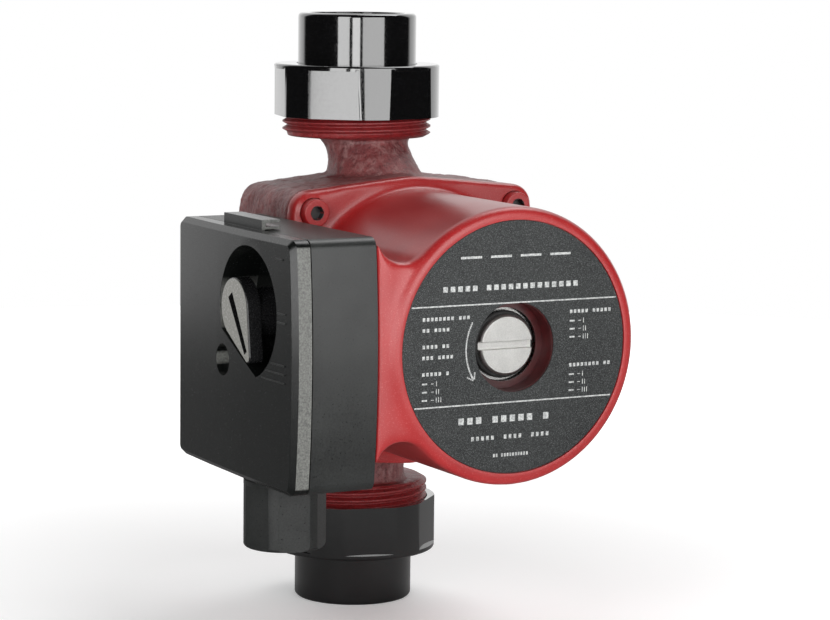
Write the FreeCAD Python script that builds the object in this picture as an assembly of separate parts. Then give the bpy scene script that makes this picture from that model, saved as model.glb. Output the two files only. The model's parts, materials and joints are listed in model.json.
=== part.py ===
import FreeCAD, Part
import math
import os

# Wet-rotor circulator pump, 130 mm between its port faces, with two pipe unions.
# Frame: +Z runs up the pipe axis, the motor faces -Y and the terminal box faces -X.
# The origin is the centre of the lower tailpiece's open end. All sizes are in mm.

Vector = FreeCAD.Vector
os.makedirs("parts", exist_ok=True)

# ---- driving dimensions ------------------------------------------------------
PORT_SPACING = 130.0          # between the two port faces
TAIL_REACH = 30.0             # each tailpiece stands this far out of its port
PORT_THREAD_R = 23.9          # G 1 1/2 outside thread, major radius
PORT_ROOT_R = 22.43           # its root radius
THREAD_PITCH = 2.309          # 11 threads per inch
PORT_THREAD_LENGTH = 8.4
WATER_BORE_R = 12.0
TAIL_R = 19.0                 # tailpiece outside
SOCKET_R = 15.15              # Rp 1 socket, minor radius
UNION_NUT_R = 26.6
UNION_NUT_HALF_FLATS = 25.3
UNION_NUT_HEIGHT = 16.8
UNION_LIP = 5.7
COLLAR_R = 21.8
COLLAR_THICK = 6.0
UNION_GASKET_THICK = 2.0

JOINT_Y = -36.0               # face where the motor is bolted to the pump
RIM_Y = -104.0                # front rim of the motor
BARREL_R = 41.3
BARREL_BORE_R = 37.8
FRONT_WALL_Y = -98.5          # inside face of the front wall
FLANGE_R = 45.2               # flange radius at the middle of each side
FLANGE_THICK = 5.0
EAR_R = 6.6
BOLT_CIRCLE_R = 50.0
BOLT_R = 2.5                  # M5
BOLT_HEAD_R = 4.25
REGISTER_R = 39.6             # spigot bore shared by pump, plate and can
NAMEPLATE_R = 37.4
VENT_WELL_R = 13.1
VENT_HEAD_R = 9.0
VENT_THREAD_R = 8.0
VENT_SEAT_Y = -95.1

VOLUTE_R = 37.5
VOLUTE_BACK_Y = -16.0
SUCTION_Y = -11.5             # front of the chamber behind the impeller's eye
PUMP_BACK_Y = 27.0
IMPELLER_R = 29.0
BLADE_COUNT = 6
EYE_R = 12.0
SHAFT_R = 5.0
ROTOR_R = 16.6
CAN_R = 17.5
CAN_WALL = 0.5
STATOR_BACK_Y = -48.0
STATOR_FRONT_Y = -80.0
SLOT_COUNT = 12

BOX_SEAT_X = -44.5            # where the terminal box meets the motor
SEAM_X = -65.2                # joint between the box's base and its cover
COVER_X = -71.2
BOX_FRONT_Y = -102.3          # middle of the bowed front side
BOX_BOW = 2.0                 # how far that side falls back at top and bottom
BOX_BACK_Y = -19.3
BOX_BOTTOM_Z = 55.2
BOX_TOP_Z = 128.7
BOX_WALL = 2.2
BOX_CORNER_R = 3.2
KNOB_Y = -68.3
KNOB_Z = 104.3
POCKET_Y = -72.0
POCKET_Z = 105.3
POCKET_R = 19.4
POCKET_FLOOR_X = -60.0
KNOB_FACE_X = -73.9
POINTER_ANGLE = -56.0         # from -Y towards +Z, at speed III
SCREW_Y = -54.6               # cover screw
SCREW_Z = 89.0
GLAND_X = -55.0
GLAND_Y = -63.0
GLAND_R = 12.4
CABLE_R = 4.0

GAP = 0.3                     # between pieces that move apart
RUNNING = 0.05                # radial clearance of a running fit

# ---- derived places ----------------------------------------------------------
PORT_LOW = TAIL_REACH
PORT_HIGH = TAIL_REACH + PORT_SPACING
AXIS_Z = (PORT_LOW + PORT_HIGH) / 2
TOP_Z = PORT_HIGH + TAIL_REACH
FLANGE_Y = JOINT_Y - FLANGE_THICK
EAR_OFFSET = BOLT_CIRCLE_R / math.sqrt(2)
BOLT_CENTRES = [(sx * EAR_OFFSET, AXIS_Z + sz * EAR_OFFSET) for sx in (-1, 1) for sz in (-1, 1)]
MOTOR_AXIS = (0.0, AXIS_Z)
PIPE_AXIS = (0.0, 0.0)


# ---- building blocks ---------------------------------------------------------
def place(axis, at, along, across=0.0):
    """Point at `along` on the axis through `at`, moved `across` along the next axis."""
    if axis == "X":
        return Vector(along, at[0] + across, at[1])
    if axis == "Y":
        return Vector(at[0] + across, along, at[1])
    return Vector(at[0] + across, at[1], along)


def direction(axis):
    return Vector(axis == "X", axis == "Y", axis == "Z")


def rod(radius, start, end, axis="Y", at=MOTOR_AXIS):
    return Part.makeCylinder(radius, end - start, place(axis, at, start), direction(axis))


def tube(outer, inner, start, end, axis="Y", at=MOTOR_AXIS):
    return rod(outer, start, end, axis, at).cut(rod(inner, start, end, axis, at))


def block(x, y, z):
    """Box from three (low, high) pairs."""
    return Part.makeBox(x[1] - x[0], y[1] - y[0], z[1] - z[0], Vector(x[0], y[0], z[0]))


def lathe(profile, axis="Y", at=MOTOR_AXIS):
    """Turned solid from a closed list of (radius, position along the axis) corners."""
    corners = [place(axis, at, along, radius) for radius, along in profile]
    face = Part.Face(Part.makePolygon(corners + corners[:1]))
    return face.revolve(place(axis, at, 0.0), direction(axis), 360)


def joined(shapes):
    shapes = list(shapes)
    return shapes[0].fuse(shapes[1:]).removeSplitter() if len(shapes) > 1 else shapes[0]


def prism(wire, vector):
    return Part.Face(wire).extrude(vector)


def soften(shape, radius, test):
    """Round every edge that passes the test."""
    edges = [edge for edge in shape.Edges if test(edge)]
    return shape.makeFillet(radius, edges)


def lies_at(axis_name, value):
    """Edge test: the whole edge lies in one plane across an axis."""
    low, high = axis_name + "Min", axis_name + "Max"

    def test(edge):
        bounds = edge.BoundBox
        return abs(getattr(bounds, low) - value) < 1e-4 and abs(getattr(bounds, high) - value) < 1e-4

    return test


def runs_along_x(edge):
    bounds = edge.BoundBox
    return bounds.XLength > 1.0 and bounds.YLength < 1e-4 and bounds.ZLength < 1e-4


def mirrored(shape):
    """The same shape at the other port."""
    return shape.mirror(Vector(0, 0, AXIS_Z), Vector(0, 0, 1))


def loft(sections):
    """Smooth solid through ellipses given as (z, centre y, half width x, half width y)."""
    wires = []
    for z, centre_y, half_x, half_y in sections:
        centre = Vector(0, centre_y, z)
        if half_x > half_y:
            ellipse = Part.Ellipse(centre + Vector(half_x, 0, 0), centre + Vector(0, half_y, 0), centre)
        elif half_y > half_x:
            ellipse = Part.Ellipse(centre + Vector(0, half_y, 0), centre + Vector(-half_x, 0, 0), centre)
        else:
            ellipse = Part.Circle(centre, Vector(0, 0, 1), half_x)
        wires.append(Part.Wire(ellipse.toShape()))
    return Part.makeLoft(wires, True)


def square_outline(mid_r, ear_r, y):
    """Rounded square with four ears: side arcs joined to ear arcs by tangent lines."""
    swing = math.acos((mid_r - ear_r) / BOLT_CIRCLE_R)
    edges = []

    def on(centre, radius, angle):
        return Vector(centre[0] + radius * math.cos(angle), y, centre[1] + radius * math.sin(angle))

    for quarter in range(4):
        ear_angle = math.pi / 4 + quarter * math.pi / 2
        ear = (BOLT_CIRCLE_R * math.cos(ear_angle), AXIS_Z + BOLT_CIRCLE_R * math.sin(ear_angle))
        before, after = ear_angle - swing, ear_angle + swing
        side_middle = before - (math.pi / 4 - swing)
        start = on(MOTOR_AXIS, mid_r, 2 * side_middle - before)
        tangent = on(MOTOR_AXIS, mid_r, before)
        edges.append(Part.Arc(start, on(MOTOR_AXIS, mid_r, side_middle), tangent).toShape())
        edges.append(Part.LineSegment(tangent, on(ear, ear_r, before)).toShape())
        ear_arc = Part.Arc(on(ear, ear_r, before), on(ear, ear_r, ear_angle), on(ear, ear_r, after))
        edges.append(ear_arc.toShape())
        edges.append(Part.LineSegment(on(ear, ear_r, after), on(MOTOR_AXIS, mid_r, after)).toShape())
    return Part.Wire(edges)


# ---- wet end -----------------------------------------------------------------
NECK_UP = [(152.5, -1.5, 18.0, 18.0), (147.0, -8.0, 13.4, 14.0), (140.0, -12.5, 14.6, 16.0),
           (128.0, -14.5, 19.0, 19.0)]
NECK_DOWN = [(37.5, -1.0, 18.0, 18.0), (43.0, -4.0, 14.6, 14.6), (50.0, -2.5, 16.0, 16.5),
             (62.0, 0.0, 19.0, 18.0)]
OUTLET_CHANNEL = [(160.5, 0.0, WATER_BORE_R, WATER_BORE_R), (153.0, -3.0, 11.0, 11.0),
                  (147.0, -8.0, 9.8, 10.0), (138.0, -13.0, 10.5, 10.5), (124.0, -20.0, 11.0, 9.0)]
INLET_CHANNEL = [(29.5, 0.0, WATER_BORE_R, WATER_BORE_R), (37.0, -1.5, 11.2, 11.2),
                 (43.0, -3.5, 10.6, 10.6), (52.0, -1.0, 10.6, 10.6), (64.0, 3.5, 11.0, 10.6),
                 (90.0, 4.0, 12.0, 11.0)]


def port_barrel():
    """Upper port: a plain disc with ridges at the thread's pitch."""
    inner_end = PORT_HIGH - PORT_THREAD_LENGTH
    profile = [(0.0, inner_end - 0.8), (PORT_ROOT_R, inner_end - 0.8)]
    turns = int(PORT_THREAD_LENGTH / THREAD_PITCH)
    for turn in range(turns + 1):
        start = inner_end + (turn - 0.15) * THREAD_PITCH
        profile += [(PORT_ROOT_R, start), (PORT_THREAD_R, start + 0.42 * THREAD_PITCH),
                    (PORT_THREAD_R, start + 0.58 * THREAD_PITCH)]
        if start + THREAD_PITCH < PORT_HIGH:
            profile.append((PORT_ROOT_R, start + THREAD_PITCH))
    profile += [(PORT_ROOT_R, PORT_HIGH), (0.0, PORT_HIGH)]
    return lathe([p for p in profile if p[1] <= PORT_HIGH], "Z", PIPE_AXIS)


def pump_housing():
    body = soften(prism(square_outline(FLANGE_R, EAR_R, JOINT_Y), Vector(0, 37.0, 0)), 3.0,
                  lies_at("Y", JOINT_Y + 37.0))
    back = lathe([(0, JOINT_Y + 8), (42.5, JOINT_Y + 8), (42.5, 6), (39, 14), (31, 21),
                  (22, PUMP_BACK_Y - 1.5), (17, PUMP_BACK_Y), (0, PUMP_BACK_Y)])
    port = port_barrel()
    body = joined([body, back, loft(NECK_UP), loft(NECK_DOWN), port, mirrored(port)])
    hollows = [rod(REGISTER_R, JOINT_Y - 1, JOINT_Y + 3), rod(VOLUTE_R, JOINT_Y, VOLUTE_BACK_Y),
               rod(16.0, VOLUTE_BACK_Y - 1, SUCTION_Y + 0.5),
               lathe([(0, SUCTION_Y), (34, SUCTION_Y), (34, 4), (30, 12), (21, 18), (0, 20)]),
               loft(OUTLET_CHANNEL), loft(INLET_CHANNEL)]
    for x, z in BOLT_CENTRES:
        hollows.append(rod(BOLT_R, JOINT_Y - 1, JOINT_Y + 14, "Y", (x, z)))
    hollows.append(box_clearance())
    for hollow in hollows:
        body = body.cut(hollow)
    return body


def impeller():
    """Closed impeller: hub, two shrouds, curved blades and the suction eye."""
    pieces = [rod(8.0, -31.0, -20.0), rod(IMPELLER_R, -31.0, -29.4),
              lathe([(EYE_R, -20.0), (EYE_R, -25.6), (IMPELLER_R, -25.6), (IMPELLER_R, -24.4),
                     (EYE_R + 3, -23.6), (EYE_R + 1.5, -22.4), (EYE_R + 1.5, -16.6), (EYE_R, -16.6)])]
    for blade in range(BLADE_COUNT):
        curve = tube(22.0, 20.8, -29.5, -25.5, "Y", (14.5, AXIS_Z + 13.0))
        reach = tube(IMPELLER_R - 0.4, 11.0, -29.5, -25.5)
        arc = curve.common(reach).common(block((-40, 40), (-30, -25), (AXIS_Z - 40, AXIS_Z + 1)))
        arc.rotate(Vector(0, 0, AXIS_Z), Vector(0, 1, 0), 360.0 * blade / BLADE_COUNT)
        pieces.append(arc)
    return joined(pieces).cut(rod(SHAFT_R, -32.0, -19.0))


def bearing_plate():
    return lathe([(36.0, -35.4), (REGISTER_R, -35.4), (REGISTER_R, -33.0), (10.0, -33.0), (10.0, -45.5),
                  (12.5, -45.5), (12.5, -34.2), (36.0, -34.2)])


def union_gasket():
    return tube(21.4, SOCKET_R + 0.9, PORT_HIGH, PORT_HIGH + UNION_GASKET_THICK, "Z", PIPE_AXIS)


def tailpiece():
    """Collar, waist and plain socket end with a small bead at the mouth."""
    base = PORT_HIGH + UNION_GASKET_THICK
    collar_top = base + COLLAR_THICK
    return lathe([(SOCKET_R, base), (COLLAR_R, base), (COLLAR_R, collar_top), (TAIL_R, collar_top),
                  (TAIL_R, TOP_Z - 0.8), (TAIL_R - 0.8, TOP_Z), (SOCKET_R, TOP_Z)], "Z", PIPE_AXIS)


def union_nut(flat_angle):
    """Round nut with six flats, an inward lip and a clear bore over the port thread."""
    low = PORT_HIGH - 3.0
    high = low + UNION_NUT_HEIGHT
    ring = soften(rod(UNION_NUT_R, low, high, "Z", PIPE_AXIS), 0.8, lies_at("Z", high))
    for side in range(6):
        angle = math.radians(flat_angle + 60 * side)
        outside = block((UNION_NUT_HALF_FLATS, 40), (-40, 40), (low - 1, high - 1.6))
        outside.rotate(Vector(0, 0, 0), Vector(0, 0, 1), math.degrees(angle))
        ring = ring.cut(outside)
    bore = rod(PORT_THREAD_R + GAP, low - 1, high - UNION_LIP, "Z", PIPE_AXIS)
    return ring.cut(bore).cut(rod(TAIL_R + GAP + 0.1, low, high + 1, "Z", PIPE_AXIS))


def box_clearance():
    """Flat on the side of both castings, beside the terminal box."""
    return block((-60, BOX_SEAT_X + GAP), (-60, 40), (BOX_BOTTOM_Z - 10, BOX_TOP_Z + 10))


# ---- motor -------------------------------------------------------------------
def box_wing():
    """Side of the motor housing that carries the terminal box, with hollow flanks."""
    top_edge, valley, landing = (BOX_SEAT_X, 33.8), (-38.2, 26.5), (-30.0, 28.4)

    def corner(point, side):
        return Vector(point[0], BOX_FRONT_Y, AXIS_Z + side * point[1])

    edges = [Part.LineSegment(corner(top_edge, -1), corner(top_edge, 1)).toShape(),
             Part.Arc(corner(top_edge, 1), corner(valley, 1), corner(landing, 1)).toShape(),
             Part.LineSegment(corner(landing, 1), corner(landing, -1)).toShape(),
             Part.Arc(corner(landing, -1), corner(valley, -1), corner(top_edge, -1)).toShape()]
    return prism(Part.Wire(edges), Vector(0, FLANGE_Y - BOX_FRONT_Y + 1, 0))


def stator_housing():
    barrel = soften(rod(BARREL_R, RIM_Y, JOINT_Y), 2.6, lies_at("Y", RIM_Y))
    flange = soften(prism(square_outline(FLANGE_R, EAR_R, FLANGE_Y), Vector(0, FLANGE_THICK, 0)), 1.5,
                    lies_at("Y", FLANGE_Y))
    body = joined([barrel, flange.cut(box_clearance()), box_wing()])
    body = body.cut(rod(BARREL_BORE_R, FRONT_WALL_Y, JOINT_Y + 1))
    body = body.cut(rod(REGISTER_R, JOINT_Y - 1.2, JOINT_Y + 1))
    body = body.cut(rod(NAMEPLATE_R + 0.2, RIM_Y - 1, RIM_Y + 1.0))
    body = body.fuse(rod(16.2, FRONT_WALL_Y - 1, VENT_SEAT_Y - 1.4))
    body = body.cut(rod(VENT_WELL_R, RIM_Y - 1, VENT_SEAT_Y - 1.9))
    body = body.cut(rod(11.0, RIM_Y, VENT_SEAT_Y))
    for x, z in BOLT_CENTRES:
        body = body.cut(rod(BOLT_R + 0.25, FLANGE_Y - 1, JOINT_Y + 1, "Y", (x, z)))
        body = body.cut(rod(BOLT_HEAD_R + 0.35, FLANGE_Y - 9, FLANGE_Y + 1.2, "Y", (x, z)))
    body = body.cut(rod(GROMMET_R, BOX_SEAT_X - 1, -30.0, "X", (GROMMET_Y, GROMMET_Z)))
    for y, z in BASE_SCREWS:
        body = body.cut(rod(1.9, BOX_SEAT_X - 1, BOX_SEAT_X + 5, "X", (y, z)))
    return body.removeSplitter()


def housing_screws():
    """Four M5 socket head screws."""
    screws = []
    seat = FLANGE_Y + 1.2
    for x, z in BOLT_CENTRES:
        at = (x, z)
        head = soften(rod(BOLT_HEAD_R, seat - 4.0, seat, "Y", at), 0.5, lies_at("Y", seat - 4.0))
        screw = joined([head, rod(BOLT_R, seat - 1, JOINT_Y + 12, "Y", at)])
        socket = Part.makePolygon([Vector(x + 2.3 * math.cos(math.radians(60 * k)), seat - 4.5,
                                          z + 2.3 * math.sin(math.radians(60 * k))) for k in range(7)])
        screws.append(screw.cut(prism(socket, Vector(0, 3.0, 0))))
    return Part.makeCompound(screws)


def rotor_can():
    """Thin can with a clamped flange, a closed front and a bush for bearing and vent plug."""
    wall_r = CAN_R - CAN_WALL
    front = -93.0
    return lathe([(wall_r, JOINT_Y - 0.5), (wall_r, front + 0.6), (11.0, front + 0.6), (11.0, -79.5),
                  (9.0, -79.5), (9.0, -88.5), (VENT_THREAD_R + RUNNING, -88.5),
                  (VENT_THREAD_R + RUNNING, VENT_SEAT_Y), (10.9, VENT_SEAT_Y), (10.9, front),
                  (CAN_R, front), (CAN_R, JOINT_Y - 1.2), (REGISTER_R, JOINT_Y - 1.2),
                  (REGISTER_R, JOINT_Y - 0.5)])


def stator_core():
    """Laminated ring with a slot for each winding bar."""
    core = tube(BARREL_BORE_R, CAN_R, STATOR_FRONT_Y, STATOR_BACK_Y)
    for slot in range(SLOT_COUNT):
        cutter = block((20.2, 29.5), (STATOR_FRONT_Y - 1, STATOR_BACK_Y + 1), (AXIS_Z - 2.6, AXIS_Z + 2.6))
        cutter.rotate(Vector(0, 0, AXIS_Z), Vector(0, 1, 0), 360.0 * slot / SLOT_COUNT)
        core = core.cut(cutter)
    return core


def stator_windings():
    """Two rounded end crowns joined by the bars that lie in the slots."""
    front, back = STATOR_FRONT_Y, STATOR_BACK_Y
    crowns = [soften(tube(31.5, 19.0, front - 9.0, front - 0.2), 2.5, lies_at("Y", front - 9.0)),
              soften(tube(31.5, 19.0, back + 0.2, back + 8.0), 2.5, lies_at("Y", back + 8.0))]
    bars = []
    for slot in range(SLOT_COUNT):
        bar = block((20.6, 29.1), (front - 1, back + 1), (AXIS_Z - 2.3, AXIS_Z + 2.3))
        bar.rotate(Vector(0, 0, AXIS_Z), Vector(0, 1, 0), 360.0 * slot / SLOT_COUNT)
        bars.append(bar)
    return joined(crowns + bars)


def rotor_core():
    """Laminated core with a conducting ring standing off each end."""
    core = tube(ROTOR_R, SHAFT_R, -76.0, -50.0)
    rings = [tube(14.5, 9.5, -78.5, -76.0), tube(14.5, 9.5, -50.0, -48.4)]
    return joined([core] + rings)


def vent_screw():
    """Slotted plug: broad head with an undercut for its seal, then the threaded stem."""
    head_y = VENT_SEAT_Y - 4.0
    plug = lathe([(0, head_y), (VENT_HEAD_R - 0.6, head_y), (VENT_HEAD_R, head_y + 0.6),
                  (VENT_HEAD_R, VENT_SEAT_Y - 2.1), (VENT_THREAD_R, VENT_SEAT_Y - 2.1),
                  (VENT_THREAD_R, -90.0), (7.0, -89.0), (0, -89.0)])
    slot = block((-12, 12), (head_y - 1, head_y + 1.8), (AXIS_Z - 1.15, AXIS_Z + 1.15))
    return plug.cut(slot)


def vent_o_ring():
    ring = Part.makeTorus(9.25, 0.85, Vector(0, VENT_SEAT_Y - 1.18, AXIS_Z), Vector(0, 1, 0))
    return ring.cut(rod(VENT_THREAD_R + RUNNING + 0.35, VENT_SEAT_Y - 4, VENT_SEAT_Y + 1))


# ---- terminal box ------------------------------------------------------------
GROMMET_Y = -84.0
GROMMET_Z = 83.0
GROMMET_R = 4.0
SPOUT_R = 10.0
SPOUT_BORE_R = 7.7
SPOUT_BOTTOM_Z = 41.5
BASE_SCREW_R = 1.9
BASE_SCREWS = [(-94.5, 112.0), (-94.5, 83.0), (-51.0, 114.0)]
BOX_FLOOR_X = BOX_SEAT_X - 2.5
GLAND_AXIS = (GLAND_X, GLAND_Y)
KNOB_AXIS = (KNOB_Y, KNOB_Z)
COVER_EDGE_X = SEAM_X - GAP


def box_solid(low_x, high_x, inset, corner_r):
    """Stretch of the terminal box's outline, set in by `inset`, with rounded corners."""
    low_z, high_z = BOX_BOTTOM_Z + inset, BOX_TOP_Z - inset
    front, back = BOX_FRONT_Y + inset, BOX_BACK_Y - inset
    bottom_front = Vector(low_x, front + BOX_BOW, low_z)
    top_front = Vector(low_x, front + BOX_BOW, high_z)
    bottom_back = Vector(low_x, back, low_z)
    top_back = Vector(low_x, back, high_z)
    middle = Vector(low_x, front, (low_z + high_z) / 2)
    edges = [Part.Arc(bottom_front, middle, top_front).toShape(),
             Part.LineSegment(top_front, top_back).toShape(),
             Part.LineSegment(top_back, bottom_back).toShape(),
             Part.LineSegment(bottom_back, bottom_front).toShape()]
    solid = prism(Part.Wire(edges), Vector(high_x - low_x, 0, 0))
    return soften(solid, corner_r, runs_along_x)


def terminal_box_base():
    tub = box_solid(SEAM_X, BOX_SEAT_X, 0.0, BOX_CORNER_R)
    tub = tub.cut(box_solid(SEAM_X - 1, BOX_FLOOR_X, BOX_WALL, BOX_CORNER_R - 1.2))
    screw_boss = rod(4.0, -62.3, BOX_FLOOR_X + 1, "X", (SCREW_Y, SCREW_Z))
    spout = rod(SPOUT_R, SPOUT_BOTTOM_Z, BOX_BOTTOM_Z + 1, "Z", GLAND_AXIS)
    tub = joined([tub, screw_boss, spout])
    tub = tub.cut(rod(SPOUT_BORE_R, SPOUT_BOTTOM_Z - 1, BOX_BOTTOM_Z + 5, "Z", GLAND_AXIS))
    tub = tub.cut(rod(BASE_SCREW_R, -63, -50, "X", (SCREW_Y, SCREW_Z)))
    tub = tub.cut(rod(GROMMET_R, BOX_FLOOR_X - 1, BOX_SEAT_X + 1, "X", (GROMMET_Y, GROMMET_Z)))
    for y, z in BASE_SCREWS:
        tub = tub.cut(rod(BASE_SCREW_R, BOX_FLOOR_X - 1, BOX_SEAT_X + 1, "X", (y, z)))
    return tub


def pocket(radius, start, end):
    """Round well round the knob with a straight cut across its lower rear side."""
    def on(angle):
        return Vector(start, POCKET_Y + radius * math.cos(angle), POCKET_Z + radius * math.sin(angle))

    first, last = math.radians(-21), math.radians(252)
    edges = [Part.Arc(on(first), on((first + last) / 2), on(last)).toShape(),
             Part.LineSegment(on(last), on(first)).toShape()]
    return prism(Part.Wire(edges), Vector(end - start, 0, 0))


def cover_dome(inset):
    """Everything on the motor's side of the cover's bowed face."""
    face = COVER_X + inset
    low = BOX_BOTTOM_Z - 1

    def corner(x, y):
        return Vector(x, y, low)

    edges = [Part.Arc(corner(face, -104), corner(face - 0.6, -60), corner(face + 0.6, -17)).toShape(),
             Part.LineSegment(corner(face + 0.6, -17), corner(-55, -17)).toShape(),
             Part.LineSegment(corner(-55, -17), corner(-55, -104)).toShape(),
             Part.LineSegment(corner(-55, -104), corner(face, -104)).toShape()]
    return prism(Part.Wire(edges), Vector(0, 0, BOX_TOP_Z - low + 1))


def cover_latch():
    """Hooked strip on the cover's top edge that closes over the base."""
    length = (-70.5, -44.0)
    strip = block((-66.6, -60.6), length, (BOX_TOP_Z - 0.6, BOX_TOP_Z + 3.1))
    strip = strip.cut(block((-65.2, -60.0), (-71, -43), (BOX_TOP_Z + 1.1, BOX_TOP_Z + 2.2)))
    return strip.cut(block((COVER_EDGE_X, -60), (-71, -43), (BOX_TOP_Z - 2, BOX_TOP_Z + GAP)))


def on_cover_rim(edge):
    """Edge test: the closed rim where the cover's face meets its sides."""
    bounds = edge.BoundBox
    return bounds.XMax < COVER_X + 1.2 and (bounds.YLength > 20 or bounds.ZLength > 20)


def terminal_box_cover():
    shell = box_solid(-73.0, COVER_EDGE_X, 0.0, BOX_CORNER_R).common(cover_dome(0.0))
    shell = shell.makeChamfer(1.6, [edge for edge in shell.Edges if on_cover_rim(edge)])
    hollow = box_solid(-72.0, COVER_EDGE_X + 1, BOX_WALL, BOX_CORNER_R - 1.2).common(cover_dome(BOX_WALL))
    skirt = box_solid(-67.0, -62.8, BOX_WALL + GAP, BOX_CORNER_R - 1.2)
    skirt = skirt.cut(box_solid(-68.0, -62.0, BOX_WALL + GAP + 1.4, BOX_CORNER_R - 1.8))
    inner_well = pocket(POCKET_R + 1.6, -69.5, POCKET_FLOOR_X + 2.0)
    screw_well = rod(6.0, -69.5, -62.6, "X", (SCREW_Y, SCREW_Z))
    cover = joined([shell.cut(hollow), skirt, inner_well, screw_well, cover_latch()])
    cover = cover.cut(pocket(POCKET_R, -75.0, POCKET_FLOOR_X))
    cover = cover.cut(rod(4.75 + RUNNING, -62, -57, "X", KNOB_AXIS))
    cover = cover.cut(rod(4.75, -75, -64.6, "X", (SCREW_Y, SCREW_Z)))
    return cover.cut(rod(2.2, -66, -60, "X", (SCREW_Y, SCREW_Z)))


def speed_knob():
    """Kite-shaped pointer on a hub, with a stem held behind the well's floor."""
    plate_back = KNOB_FACE_X + 4.4
    tip = 15.8
    waist = 8.6
    tail = 11.0
    aim = math.radians(POINTER_ANGLE)

    def corner(forward, side):
        y = KNOB_Y - forward * math.cos(aim) + side * math.sin(aim)
        z = KNOB_Z + forward * math.sin(aim) + side * math.cos(aim)
        return Vector(KNOB_FACE_X, y, z)

    edges = [Part.LineSegment(corner(1.0, waist), corner(tip - 1.0, 1.6)).toShape(),
             Part.Arc(corner(tip - 1.0, 1.6), corner(tip, 0), corner(tip - 1.0, -1.6)).toShape(),
             Part.LineSegment(corner(tip - 1.0, -1.6), corner(1.0, -waist)).toShape(),
             Part.Arc(corner(1.0, -waist), corner(-tail, 0), corner(1.0, waist)).toShape()]
    plate = soften(prism(Part.Wire(edges), Vector(plate_back - KNOB_FACE_X, 0, 0)), 0.6,
                   lies_at("X", KNOB_FACE_X))
    groove = [corner(-6.5, 1.6), corner(-6.5, -1.6), corner(tip - 3, -1.0), corner(tip - 3, 1.0)]
    plate = plate.cut(prism(Part.makePolygon(groove + groove[:1]), Vector(2.6, 0, 0)))
    floor = POCKET_FLOOR_X + 2.0
    knob = joined([plate, rod(7.5, plate_back - 1, POCKET_FLOOR_X - GAP, "X", KNOB_AXIS),
                   rod(4.75, POCKET_FLOOR_X - 1, floor + GAP + 0.5, "X", KNOB_AXIS),
                   rod(5.7, floor + GAP, floor + 1.3, "X", KNOB_AXIS)])
    return knob.cut(rod(2.5 + RUNNING, -66.0, -55.0, "X", KNOB_AXIS))


def speed_switch():
    body = block((-53.8, BOX_FLOOR_X), (KNOB_Y - 19.5, KNOB_Y + 11), (KNOB_Z - 11, KNOB_Z + 11))
    body = joined([body, rod(5.0, -55.2, -53.0, "X", KNOB_AXIS)])
    return body.cut(rod(2.5 + RUNNING, -56, -49, "X", KNOB_AXIS))


def switch_spindle():
    spindle = rod(2.5, -64.5, -49.3, "X", KNOB_AXIS)
    return spindle.cut(block((-65, -60), (KNOB_Y - 3, KNOB_Y + 3), (KNOB_Z + 1.4, KNOB_Z + 3)))


def cover_screw():
    at = (SCREW_Y, SCREW_Z)
    head = soften(rod(3.8, -66.6, -64.6, "X", at), 0.5, lies_at("X", -66.6))
    screw = joined([head, rod(1.85, -65, -51, "X", at)])
    across = block((-67, -65.6), (SCREW_Y - 0.5, SCREW_Y + 0.5), (SCREW_Z - 2.6, SCREW_Z + 2.6))
    down = block((-67, -65.6), (SCREW_Y - 2.6, SCREW_Y + 2.6), (SCREW_Z - 0.5, SCREW_Z + 0.5))
    return screw.cut(across).cut(down)


def base_screws():
    screws = []
    for y, z in BASE_SCREWS:
        head = rod(3.5, BOX_FLOOR_X - 2.2, BOX_FLOOR_X, "X", (y, z))
        shank = rod(1.9, BOX_FLOOR_X - 1, BOX_SEAT_X + 4.5, "X", (y, z))
        slot = block((BOX_FLOOR_X - 3, BOX_FLOOR_X - 1.2), (y - 3, y + 3), (z - 0.5, z + 0.5))
        screws.append(joined([head, shank]).cut(slot))
    return Part.makeCompound(screws)


TERMINAL_Y = [-80.0, -70.0, -60.0]
TERMINAL_Z = (63.0, 75.0)


def terminal_block():
    body = block((-57.5, BOX_FLOOR_X), (-86.0, -54.0), TERMINAL_Z)
    for y in TERMINAL_Y:
        body = body.cut(rod(2.3, -58, -50, "X", (y, 69.0)))
        body = body.cut(block((-55.5, -51.5), (y - 2, y + 2), (62, 66)))
    return body


def terminal_screws():
    screws = []
    for y in TERMINAL_Y:
        screw = rod(2.2, -56.5, -50.2, "X", (y, 69.0))
        screws.append(screw.cut(block((-57, -55.5), (y - 3, y + 3), (68.6, 69.4))))
    return Part.makeCompound(screws)


def earth_terminal():
    """Earth screw on its stamped tab."""
    at = (-93.0, 68.0)
    tab = block((BOX_FLOOR_X - 1.0, BOX_FLOOR_X), (-98.0, -88.5), (62.0, 74.0))
    screw = joined([rod(3.4, -52.0, BOX_FLOOR_X - 1.0, "X", at), tab])
    return screw.cut(block((-53, -51), (-97, -89), (67.6, 68.4)))


def capacitor():
    body = block((-60.5, BOX_FLOOR_X), (-45.5, -24.0), (78.0, 123.0))
    return soften(body, 1.2, lambda edge: edge.BoundBox.XLength > 5)


def lead_grommet():
    ring = rod(GROMMET_R, BOX_FLOOR_X - 1.5, -37.0, "X", (GROMMET_Y, GROMMET_Z))
    flange = rod(GROMMET_R + 1.6, BOX_FLOOR_X - 1.5, BOX_FLOOR_X, "X", (GROMMET_Y, GROMMET_Z))
    grommet = joined([ring, flange])
    for y in LEAD_Y:
        grommet = grommet.cut(rod(LEAD_R, -60, -30, "X", (y, GROMMET_Z)))
    return grommet


LEAD_R = 0.8
LEAD_Y = [GROMMET_Y - 2.2, GROMMET_Y, GROMMET_Y + 2.2]


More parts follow.
